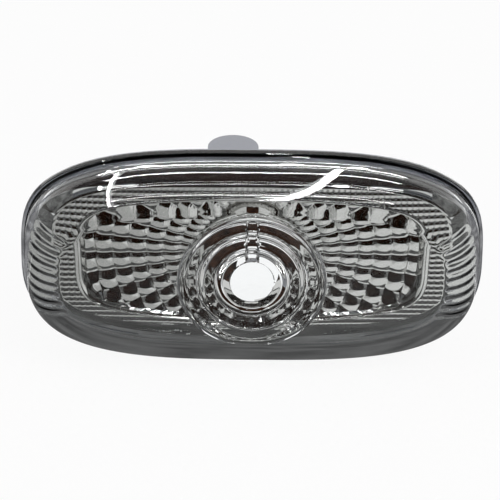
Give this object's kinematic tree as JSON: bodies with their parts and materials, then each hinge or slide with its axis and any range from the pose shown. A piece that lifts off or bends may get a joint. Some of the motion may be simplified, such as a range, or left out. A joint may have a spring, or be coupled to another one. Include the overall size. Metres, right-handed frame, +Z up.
{
  "type": "side repeater lamp",
  "caption": "Oval side repeater lamp with a clear domed lens, ringed optic, faceted chrome reflector and snap-in rear housing.",
  "frame": {"origin": "on the bulb axis, in the plane where the lens rim meets the housing flange", "axes": "+X along the lamp to the right as seen from the front, +Y backwards into the body panel, +Z up; the lens faces -Y"},
  "size_m": [0.105, 0.0376, 0.0508],
  "materials": {
    "clear_lens": "clear",
    "metallised": "bright metallised",
    "grey_plastic": "matt",
    "seal_foam": "matt"
  },
  "bodies": {
    "root": {"lens": "clear_lens", "reflector": "metallised", "housing": "grey_plastic", "rim_seal": "seal_foam"}
  },
  "joints": []
}
